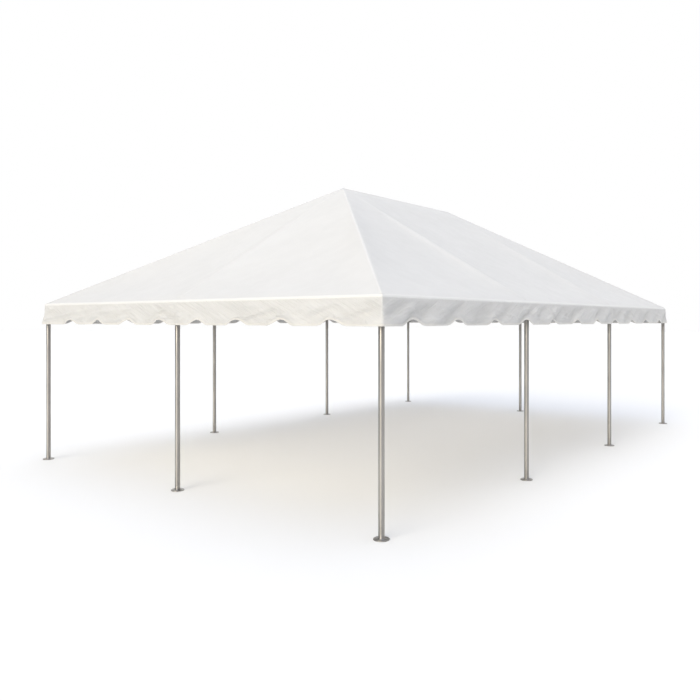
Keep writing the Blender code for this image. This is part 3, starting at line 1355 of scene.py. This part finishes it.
    def rafter_paths(self) -> dict[str, list[Vector]]:
        """Return plan points down each rafter between the hips.

        Returns:
            The points of each rafter, by its side's name and a number.
        """
        made = {}
        outer = self.run - self.fold_radius
        for side in Side:
            head_out = self.sizes.half_ridge if side.is_end else 0.0
            for number, rafter in enumerate(self.rafters_on(side), 1):
                peak = side.along * rafter + side.outward * head_out
                foot = side.along * rafter + side.outward * (head_out + outer)
                made[f"{side.name.lower()}_{number}"] = self.path_from(peak, foot)
        return made


@dataclass
class HemBinding:
    """The binding tape that is folded round the valance's scalloped edge."""

    canopy: Canopy
    finish: bpy.types.Material
    width: float = 0.022
    tape: float = 0.0009
    bulge: float = 0.0016
    gap: float = 0.0001

    def section(self) -> list[tuple[float, float, float]]:
        """Return the tape's section round the edge.

        Returns:
            How far up each point is, how far out, and its share of the way across the tape.
        """
        inner = self.canopy.thickness / 2.0 + self.gap
        outer = inner + self.tape
        face = [(self.width, outer, 0.0), (self.width * 0.55, outer + 0.0003, 0.22),
                (self.width * 0.10, outer + 0.0002, 0.42), (-self.bulge * 0.7, outer * 0.7, 0.47)]
        back = [(up, -out, 1.0 - share) for up, out, share in reversed(face)]
        inside = [(self.width, -inner, 1.0), (0.0002, -inner, 0.5), (0.0002, inner, 0.5),
                  (self.width, inner, 0.0)]
        return face + [(-self.bulge, 0.0, 0.5)] + back + inside

    def build(self) -> bpy.types.Object:
        """Build the tape.

        Returns:
            The tape.
        """
        section = self.section()
        frames = self.canopy.hem_frames()
        points, runs = [], [0.0]
        for index, (here, up, out) in enumerate(frames):
            points += [here + up * rise + out * side for rise, side, _ in section]
            ahead = frames[(index + 1) % len(frames)][0]
            runs.append(runs[-1] + (ahead - here).length)
        count = len(section)
        item = add_mesh("hem_binding", points, loft(len(frames), count, closed=True), self.finish)
        layer = item.data.uv_layers.new(name="tape")
        for polygon in item.data.polygons:
            index, step = divmod(polygon.index, count)
            after = (step + 1) % count
            corners = ((index, step), (index, after), (index + 1, after), (index + 1, step))
            for loop, (run, share) in zip(polygon.loop_indices, corners):
                layer.data[loop].uv = (runs[run], section[share][2])
        close_normals(item)
        return item


@dataclass
class EaveSeam:
    """The welded tape that lies over the canopy's fold, all the way round the eave."""

    canopy: Canopy
    finish: bpy.types.Material
    first_row: int = 1
    last_row: int = 6
    tape: float = 0.0008
    gap: float = 0.0001
    edge_share: float = 0.3
    finish_edges: tuple[float, float] = (-0.05, -0.03)

    def build(self) -> bpy.types.Object:
        """Build the tape.

        Returns:
            The tape.
        """
        points, runs = [], [0.0]
        canopy = self.canopy
        lift = canopy.thickness / 2.0 + self.gap
        count = 2 * (self.last_row - self.first_row + 1)
        for column, row in zip(canopy.columns, canopy.rows):
            steepness = canopy.sizes.slope * max(abs(column.normal.x), abs(column.normal.y))
            dip = math.atan(steepness)
            outer, inner = [], []
            for place in range(self.first_row, self.last_row + 1):
                angle = dip + (math.pi / 2.0 - dip) * place / canopy.fold_rows
                face = column.normal * math.sin(angle) + Vector((0.0, 0.0, math.cos(angle)))
                point = canopy.points[row[canopy.roof_rows + place]]
                edge = self.edge_share if place in (self.first_row, self.last_row) else 1.0
                outer.append(point + face * (lift + self.tape * edge))
                inner.append(point + face * lift)
            if points:
                runs.append(runs[-1] + (outer[0] - points[-count]).length)
            points += outer + inner[::-1]
        item = add_mesh("eave_seam", points, loft(len(canopy.columns), count, closed=True),
                        self.finish)
        start, width = self.finish_edges
        across = [min(step, count - 1 - step) / (count / 2 - 1) for step in range(count)]
        lay_tape(item, runs, [start + share * width for share in across])
        close_normals(item)
        return item


@dataclass
class SeamTape:
    """A welded seam tape that lies over a hip, a rafter or the ridge."""

    canopy: Canopy
    finish: bpy.types.Material
    half_width: float = 0.017
    tape: float = 0.0009
    gap: float = 0.0001
    edge_share: float = 0.35
    finish_shift: float = 4.0
    shares: tuple[float, ...] = (-1.0, -0.93, -0.5, -0.12, 0.0, 0.12, 0.5, 0.93, 1.0)

    def build(self, name: str, path: list[Vector]) -> bpy.types.Object:
        """Build the tape along plan points.

        Args:
            name: The piece's name.
            path: The plan points of its middle line.

        Returns:
            The tape.
        """
        points, runs = [], [0.0]
        ahead = (path[-1] - path[0]).normalized()
        aside = Vector((-ahead.y, ahead.x, 0.0))
        rise = self.canopy.thickness / 2.0 * self.canopy.sizes.secant + self.gap
        for index, plan in enumerate(path):
            upper, lower = [], []
            for share in self.shares:
                point = self.canopy.roof_point(plan + aside * self.half_width * share)
                edge = self.tape * (self.edge_share if abs(share) == 1.0 else 1.0)
                upper.append(point + Vector((0.0, 0.0, rise + edge)))
                lower.append(point + Vector((0.0, 0.0, rise)))
            points += upper + lower[::-1]
            if index:
                runs.append(runs[-1] + (plan - path[index - 1]).length)
        faces = loft(len(path), 2 * len(self.shares), closed=False)
        item = add_mesh(name, points, faces, self.finish)
        across = [(share - self.finish_shift) * self.half_width for share in self.shares]
        lay_tape(item, runs, across + across[::-1])
        close_normals(item)
        return item


# Frame


@dataclass
class Leg:
    """A leg: a drawn tube welded to a round foot plate with a rolled rim."""

    sizes: TentSizes
    finish: bpy.types.Material
    sides: int = 56
    wall: float = 0.003
    plate: float = 0.010
    rim: float = 0.0032
    weld: float = 0.0055
    bevel: float = 0.0007
    bore_bevel: float = 0.0006
    bore_floor: float = 0.0005
    foot_bevel: float = 0.0018
    plate_flat: float = 0.80

    def profile(self) -> list[tuple[float, float]]:
        """Return the leg's section as (radius, height) points.

        Returns:
            The points, from the bore round to the foot.
        """
        outer, inner = self.sizes.tube_radius, self.sizes.tube_radius - self.wall
        top, plate, weld = self.sizes.leg_top, self.plate, self.weld
        edge, flat = self.sizes.plate_radius, self.sizes.plate_radius * self.plate_flat
        floor = plate + self.bore_floor
        made = [(0.0, floor), (inner, floor), (inner, top - self.bore_bevel),
                (inner + self.bore_bevel, top), (outer - self.bevel, top),
                (outer, top - self.bevel)]
        made += [(outer, height) for height in (top * 0.75, top * 0.5, top * 0.25, 0.06)]
        made += [(outer, plate + weld), (outer + weld * 0.32, plate + weld * 0.72),
                 (outer + weld * 0.72, plate + weld * 0.34), (outer + weld, plate),
                 (flat, plate - 0.0001)]
        made += rounded((edge, plate), (flat, plate), (edge, 0.0), self.rim, 4)
        made += rounded((edge, 0.0), (edge, plate), (flat, 0.0), self.foot_bevel, 3)
        made.append((0.0, 0.0))
        return made

    def build(self, name: str) -> bpy.types.Object:
        """Build the leg in place of its CAD node.

        Args:
            name: The leg's name, without the word leg.

        Returns:
            The leg.
        """
        low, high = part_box(f"leg_{name}")
        points, faces = turned(self.profile(), self.sides)
        item = add_mesh(f"tube_leg_{name}", points, faces, self.finish)
        close_normals(item)
        item.matrix_world = Matrix.Translation(((low.x + high.x) / 2.0, (low.y + high.y) / 2.0,
                                                low.z))
        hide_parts(f"leg_{name}")
        return item


@dataclass
class Spar:
    """A straight tube between two joints."""

    sizes: TentSizes
    finish: bpy.types.Material
    sides: int = 40
    wall: float = 0.003
    gap: float = 0.0003
    bevel: float = 0.0006
    bore_bevel: float = 0.0005

    def build(self, node: str, start: Vector, end: Vector) -> bpy.types.Object:
        """Build the tube in place of its CAD node.

        Args:
            node: The CAD node's name.
            start: The joint at one end.
            end: The joint at the other end.

        Returns:
            The tube.
        """
        half = (end - start).length / 2.0 - self.sizes.shoulder - self.gap
        outer, inner = self.sizes.tube_radius, self.sizes.tube_radius - self.wall
        bevel, bore = self.bevel, self.bore_bevel
        profile = [(outer - bevel, -half), (outer, -half + bevel)]
        profile += [(outer, half * share) for share in (-0.6, -0.2, 0.2, 0.6)]
        profile += [(outer, half - bevel), (outer - bevel, half), (inner + bore, half),
                    (inner, half - bore), (inner, -half + bore), (inner + bore, -half)]
        points, faces = turned(profile, self.sides)
        item = add_mesh(f"drawn_{node}", points, faces, self.finish)
        close_normals(item)
        turn = turn_to((end - start).normalized())
        item.matrix_world = Matrix.Translation((start + end) / 2.0) @ turn
        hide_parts(node)
        return item


@dataclass
class Fitting:
    """A welded pipe fitting: stems that meet in a joint, spigots, and a locking pin in each."""

    sizes: TentSizes
    finish: bpy.types.Material
    sides: int = 36
    spigot_radius: float = 0.0262
    spigot_reach: float = 0.220
    spigot_taper: tuple[float, float] = (0.003, 0.004)
    collar: float = 0.016
    collar_bevel: tuple[float, float] = (0.0010, 0.0012)
    shoulder_bevel: float = 0.0008
    stem_inset: float = 0.0004
    stem_overlap: float = 0.004
    voxel: float = 0.0042
    pin_place: float = 0.155
    pin_radius: float = 0.0075
    pin_height: float = 0.0045
    pin_shank: float = 0.62             # share of the head's radius
    pin_crown: float = 0.72
    pin_sides: int = 16
    upright: float = 0.95

    def joint_mesh(self, directions: list[Vector]) -> bpy.types.Mesh:
        """Return the stems fused into one joint, with soft welds where they meet.

        Args:
            directions: The stems' directions.

        Returns:
            The joint's mesh.
        """
        shape = bmesh.new()
        radius = self.sizes.tube_radius - self.stem_inset
        base = -radius * 0.4
        reach = self.sizes.shoulder - self.collar + self.stem_overlap
        stem = turned([(0.0, base), (radius, base), (radius, reach), (0.0, reach)], self.sides)
        for direction in directions:
            add_part(shape, stem, turn_to(direction))
        bmesh.ops.recalc_face_normals(shape, faces=shape.faces[:])
        mesh = bpy.data.meshes.new("stems")
        shape.to_mesh(mesh)
        shape.free()
        holder = add_object("stems", mesh)
        fuse = holder.modifiers.new("Fuse", "REMESH")
        fuse.mode = "VOXEL"
        fuse.voxel_size = self.voxel
        ease = holder.modifiers.new("Ease", "SMOOTH")
        ease.factor = 0.5
        ease.iterations = 3
        bpy.context.view_layer.update()
        graph = bpy.context.evaluated_depsgraph_get()
        fused = bpy.data.meshes.new_from_object(holder.evaluated_get(graph))
        bpy.data.objects.remove(holder)
        return fused

    def arm(self) -> tuple[list[Vector], list[tuple]]:
        """Make one arm's collar and spigot along Z.

        Returns:
            Its vertices and faces.
        """
        outer, reach = self.sizes.tube_radius, self.sizes.shoulder
        start, spigot, tip = reach - self.collar, self.spigot_radius, self.spigot_reach
        profile = [(0.0, start), (outer - self.collar_bevel[0], start),
                   (outer, start + self.collar_bevel[1]), (outer, reach - self.shoulder_bevel),
                   (outer - self.shoulder_bevel, reach), (spigot, reach),
                   (spigot, tip - self.spigot_taper[1]), (spigot - self.spigot_taper[0], tip),
                   (0.0, tip)]
        return turned(profile, self.sides)

    def pin(self) -> tuple[list[Vector], list[tuple]]:
        """Make a locking pin's round head along Z, from inside the tube outward.

        Returns:
            Its vertices and faces.
        """
        surface, head = self.sizes.tube_radius, self.pin_radius
        base, top = self.spigot_radius - 0.002, surface + self.pin_height
        shank = head * self.pin_shank
        profile = [(0.0, base), (shank, base), (shank, surface - 0.0004),
                   (head, surface - 0.0002), (head, top - 0.0022),
                   (head * self.pin_crown, top - 0.0006), (0.0, top)]
        return turned(profile, self.pin_sides)

    def pin_heading(self, direction: Vector, centre: Vector) -> Vector:
        """Return the way a locking pin faces: down, or inward where its arm is upright.

        Args:
            direction: The arm's direction.
            centre: Where the fitting's stems meet.

        Returns:
            The direction.
        """
        if abs(direction.z) > self.upright:
            return Vector((-centre.x, -centre.y, 0.0)).normalized()
        beside = direction.cross(Vector((0.0, 0.0, 1.0)))
        heading = direction.cross(beside).normalized()
        return -heading if heading.z > 0.0 else heading

    def build(self, node: str, centre: Vector, directions: list[Vector]) -> bpy.types.Object:
        """Build the fitting in place of its CAD node.

        Args:
            node: The CAD node's name.
            centre: Where its stems meet.
            directions: The stems' directions.

        Returns:
            The fitting.
        """
        shape = bmesh.new()
        shape.from_mesh(self.joint_mesh(directions))
        for direction in directions:
            add_part(shape, self.arm(), turn_to(direction))
            stand = Matrix.Translation(direction * self.pin_place)
            add_part(shape, self.pin(), stand @ turn_to(self.pin_heading(direction, centre)))
        bmesh.ops.recalc_face_normals(shape, faces=shape.faces[:])
        shape.verts.index_update()
        points = [vert.co.copy() for vert in shape.verts]
        faces = [tuple(vert.index for vert in face.verts) for face in shape.faces]
        shape.free()
        item = add_mesh(f"welded_{node}", points, faces, self.finish)
        smooth_by_angle(item)
        item.matrix_world = Matrix.Translation(centre)
        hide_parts(node)
        return item


def smooth_by_angle(item: bpy.types.Object, limit: float = 0.6) -> None:
    """Shade a mesh smooth, with sharp edges where its faces meet at more than the limit.

    Args:
        item: The mesh object.
        limit: The angle in radians.
    """
    shape = bmesh.new()
    shape.from_mesh(item.data)
    for edge in shape.edges:
        edge.smooth = len(edge.link_faces) != 2 or edge.calc_face_angle(0.0) < limit
    shape.to_mesh(item.data)
    shape.free()


@dataclass
class TentFrame:
    """The metal frame: legs, eave, rafters, ridge and fittings."""

    sizes: TentSizes
    leg: Leg
    spar: Spar
    fitting: Fitting
    ring: tuple[str, ...] = ("front_left", "front_middle", "front_right", "right_1", "right_2",
                             "back_right", "back_middle", "back_left", "left_2", "left_1")
    eaves: tuple[str, ...] = ("front_left", "front_right", "right_front", "right_middle",
                              "right_back", "back_right", "back_left", "left_back",
                              "left_middle", "left_front")

    def eave_joint(self, leg: str) -> Vector:
        """Return the centre of the fitting over a leg.

        Args:
            leg: The leg's name.

        Returns:
            The joint's centre.
        """
        low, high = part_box(f"leg_{leg}")
        middle = (low + high) / 2.0
        return Vector((middle.x, middle.y, self.sizes.eave_height))

    def crown_joint(self, end: str) -> Vector:
        """Return the centre of the front or the back crown fitting."""
        along = -self.sizes.half_ridge if end == "front" else self.sizes.half_ridge
        return Vector((0.0, along, self.sizes.crown_height))

    def names_over(self, leg: str, end: str) -> tuple[str, str]:
        """Return the names of the rafter and the fitting over a leg.

        Args:
            leg: The leg's name.
            end: The nearer end, front or back.

        Returns:
            The two CAD nodes' names.
        """
        if leg.endswith("middle"):
            return f"end_rafter_{end}", f"end_fitting_{end}"
        if leg[-1].isdigit():
            return f"side_rafter_{leg}", f"side_fitting_{leg}"
        return f"hip_rafter_{leg}", f"corner_fitting_{leg}"

    def build(self) -> list[bpy.types.Object]:
        """Build every piece of the frame.

        Returns:
            The pieces.
        """
        made = [self.leg.build(name) for name in self.ring]
        joints = [self.eave_joint(leg) for leg in self.ring]
        ends = ["front" if joint.y < 0.0 else "back" for joint in joints]
        for place, name in enumerate(self.eaves):
            following = joints[(place + 1) % len(joints)]
            made.append(self.spar.build(f"eave_tube_{name}", joints[place], following))
        for place, leg in enumerate(self.ring):
            foot, head = joints[place], self.crown_joint(ends[place])
            rafter, fitting = self.names_over(leg, ends[place])
            made.append(self.spar.build(rafter, foot, head))
            targets = [joints[place - 1], joints[(place + 1) % len(joints)], head]
            directions = [Vector((0.0, 0.0, -1.0))]
            directions += [(target - foot).normalized() for target in targets]
            made.append(self.fitting.build(fitting, foot, directions))
        front, back = self.crown_joint("front"), self.crown_joint("back")
        made.append(self.spar.build("ridge_tube", front, back))
        for end, centre, other in (("front", front, back), ("back", back, front)):
            targets = [joint for joint, home in zip(joints, ends) if home == end] + [other]
            directions = [(target - centre).normalized() for target in targets]
            made.append(self.fitting.build(f"crown_fitting_{end}", centre, directions))
        return made


# Studio


@dataclass
class Studio:
    """A pale floor, a surround with a soft bright window in front, a fill light and the camera."""

    floor_size: float = 240.0
    camera_place: tuple[float, float, float] = (6.929, -9.689, 2.023)
    camera_turn: float = 37.71
    lens: float = 35.774
    shift: tuple[float, float] = (-0.0357, -0.0423)
    fill_power: float = 43.0
    fill_colour: Colour = (1.0, 0.95, 0.885)
    fill_size: tuple[float, float] = (4.7, 8.5)
    fill_place: tuple[float, float, float] = (-0.05, 0.0, 1.2)
    ceiling: Colour = (1.57, 1.67, 1.91)
    ceiling_rise: tuple[float, float] = (0.60, 1.00)
    white: Colour = (1.0, 1.0, 1.0)
    window: Colour = (4.38, 4.04, 3.36)
    near_wall: Colour = (0.22, 0.22, 0.22)
    side_wall: Colour = (0.565, 0.565, 0.57)

    def lay_floor(self) -> None:
        """Lay the floor, one wide level face."""
        half = self.floor_size / 2.0
        corners = [(-half, -half, 0.0), (half, -half, 0.0), (half, half, 0.0), (-half, half, 0.0)]
        mesh = bpy.data.meshes.new("floor")
        mesh.from_pydata(corners, [], [(0, 1, 2, 3)])
        floor = add_object("floor", mesh)
        mesh.materials.append(FloorFinish().build())

    def surround(self) -> None:
        """Make the world: walls of several brightnesses that blend into one ceiling."""
        world = bpy.data.worlds.new("surround")
        bpy.context.scene.world = world
        world.use_nodes = True
        tree = NodeTree(world.node_tree)
        place = tree.coordinates("Generated")
        wheel = tree.add("TexGradient", gradient_type="RADIAL", Vector=place)
        ramp = tree.add("ValToRGB", Fac=wheel.outputs[1])
        ramp.color_ramp.interpolation = "EASE"
        elements = ramp.color_ramp.elements
        elements.remove(elements[1])
        for index, (heading, colour) in enumerate(self.walls()):
            position = heading / 360.0 + 0.5
            element = elements[0] if index == 0 else elements.new(position)
            element.position = position
            element.color = (*colour, 1.0)
        height = tree.add("SeparateXYZ", Vector=place).outputs[2]
        rise = tree.climb(height, *self.ceiling_rise)
        background = tree.nodes["Background"].inputs
        tree.feed(background["Color"], tree.blend(rise, ramp.outputs[0], self.ceiling))
        tree.feed(background["Strength"], 1.0)

    def walls(self) -> list[tuple[float, Colour]]:
        """Return the walls of the surround.

        Returns:
            Headings about Z, in degrees from +X, each with the colour of the wall there.
        """
        return [(-180.0, self.near_wall), (-114.0, self.near_wall), (-96.0, self.window),
                (-76.0, self.window), (-52.0, self.side_wall), (80.0, self.side_wall),
                (98.0, self.white), (157.0, self.white), (172.0, self.near_wall),
                (180.0, self.near_wall)]

    def hang_fill(self) -> None:
        """Hang a wide soft fill light under the canopy."""
        area = bpy.data.lights.new("fill", "AREA")
        area.shape = "RECTANGLE"
        area.size, area.size_y = self.fill_size
        area.energy = self.fill_power
        area.color = self.fill_colour
        fill = add_object("fill", area)
        fill.location = self.fill_place
        fill.visible_camera = False
        fill.visible_glossy = False

    def set_camera(self) -> None:
        """Set the camera at the photograph's viewing angle."""
        camera = bpy.data.cameras.new("camera")
        camera.sensor_width = 36.0
        camera.lens = self.lens
        camera.shift_x, camera.shift_y = self.shift
        camera.clip_end = 500.0
        item = add_object("camera", camera)
        item.location = self.camera_place
        item.rotation_euler = (math.radians(90.0), 0.0, math.radians(self.camera_turn))
        bpy.context.scene.camera = item

    def build(self) -> None:
        """Set up the floor, the light and the camera."""
        self.lay_floor()
        self.surround()
        self.hang_fill()
        self.set_camera()
        bpy.context.scene.view_settings.view_transform = "Standard"


def main() -> None:
    """Build the tent, piece by piece, and the studio round it."""
    logging.basicConfig(level=logging.INFO, format="%(name)s: %(message)s")
    sizes = TentSizes.from_frame()
    LOG.info("sizes %s", sizes)
    spar_metal = TubeFinish("frame_aluminium", bright=(0.55, 0.55, 0.545), dull=(0.44, 0.44, 0.44))
    pieces = TentFrame(
        sizes,
        Leg(sizes, TubeFinish("leg_aluminium", soil_height=0.30).build()),
        Spar(sizes, spar_metal.build()),
        Fitting(sizes, PlatedFinish("fitting_steel").build()),
    ).build()

    canopy = Canopy(sizes, VinylFinish().build())
    sheet = canopy.build()
    seam_vinyl = VinylFinish("seam_tape", clean=(0.672, 0.672, 0.67), shaded=(0.655, 0.655, 0.653))
    # Painted highlight: the real eave tape is coloured lighter than the canopy, so the fold over
    # the eave shows a bright line
    eave_highlight_vinyl = VinylFinish("eave_tape_painted_highlight", clean=(0.745, 0.745, 0.74), shaded=(0.730, 0.730, 0.725))
    trims = [HemBinding(canopy, BindingFinish().build()).build()]
    seam = SeamTape(canopy, seam_vinyl.build())
    trims.append(EaveSeam(canopy, eave_highlight_vinyl.build()).build())
    paths = {f"hip_seam_{corner}": path for corner, path in canopy.hip_paths().items()}
    paths |= {f"rafter_seam_{rafter}": path for rafter, path in canopy.rafter_paths().items()}
    paths["ridge_seam"] = [Vector((0.0, sizes.half_ridge * share, 0.0))
                           for share in (-1.0, -0.5, 0.0, 0.5, 1.0)]
    trims += [seam.build(name, path) for name, path in paths.items()]
    for piece in pieces + [sheet] + trims:
        LOG.info("%s: %d faces", piece.name, len(piece.data.polygons))

    fabric = [f"{part}_{side.name.lower()}" for part in ("roof_panel", "valance") for side in Side]
    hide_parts(*fabric)
    Studio().build()


if __name__ == "__main__":
    main()
